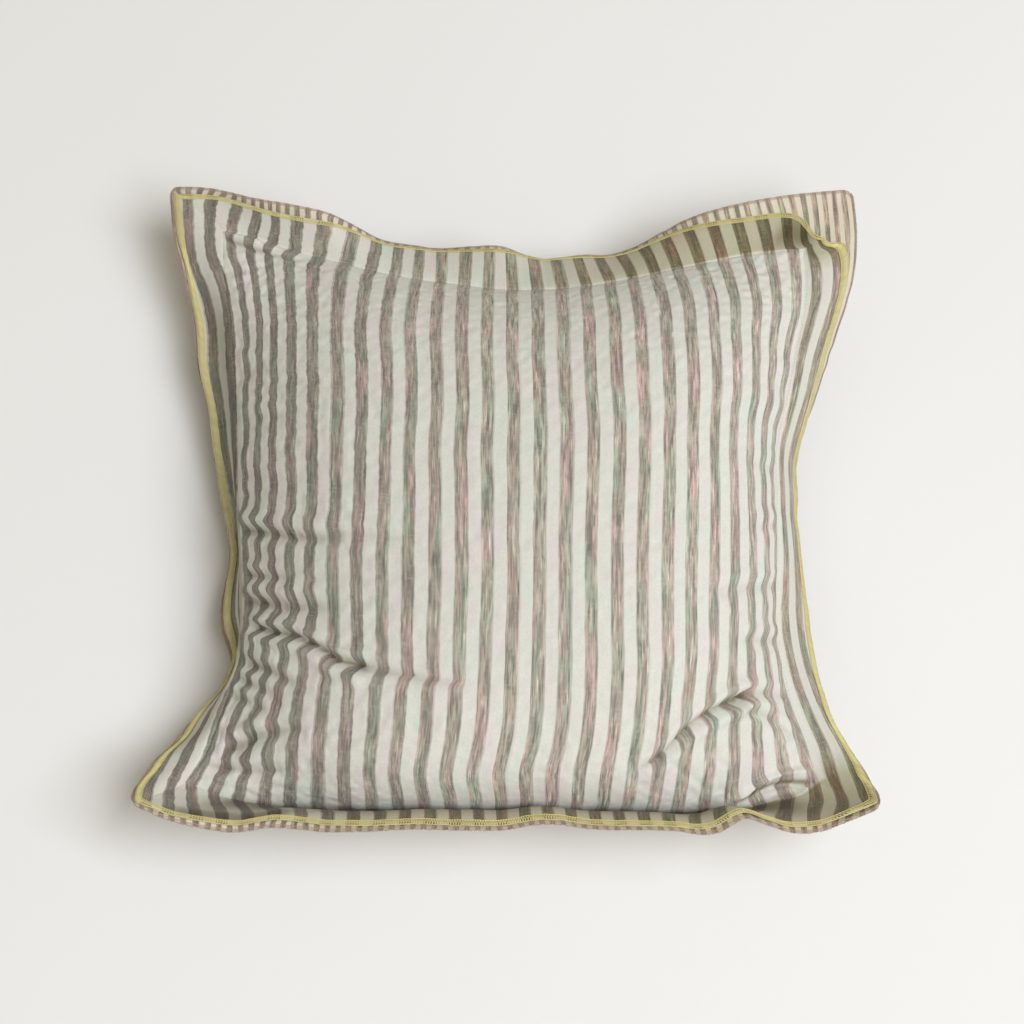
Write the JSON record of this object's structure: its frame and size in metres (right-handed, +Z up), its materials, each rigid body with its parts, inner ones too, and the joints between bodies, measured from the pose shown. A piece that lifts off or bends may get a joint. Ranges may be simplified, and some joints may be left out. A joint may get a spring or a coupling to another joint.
{
  "type": "square throw pillow",
  "caption": "Square filled pillow lying on its back, with striped cloth panels sewn together inside a flat double flange whose raw edges are overlocked.",
  "frame": {"origin": "middle of the box on the surface that the pillow rests on", "axes": "+Z up out of the front panel, +Y towards the pillow's top edge, +X to the right as the front is seen"},
  "size_m": [0.5132, 0.5096, 0.1464],
  "materials": {
    "wide_stripe_cloth": "matt woven slub cloth, ivory with wide muted taupe, sage and rose stripes",
    "narrow_stripe_cloth": "matt woven slub cloth, ivory with narrow brown and rose stripes",
    "yellow_green_thread": "matt spun thread, overlocked",
    "rose_thread": "matt spun thread, overlocked"
  },
  "bodies": {
    "root": {"cushion_body": "wide_stripe_cloth", "front_flange": "wide_stripe_cloth", "back_flange": "narrow_stripe_cloth", "front_edging": "yellow_green_thread", "back_edging": "rose_thread"}
  },
  "joints": []
}
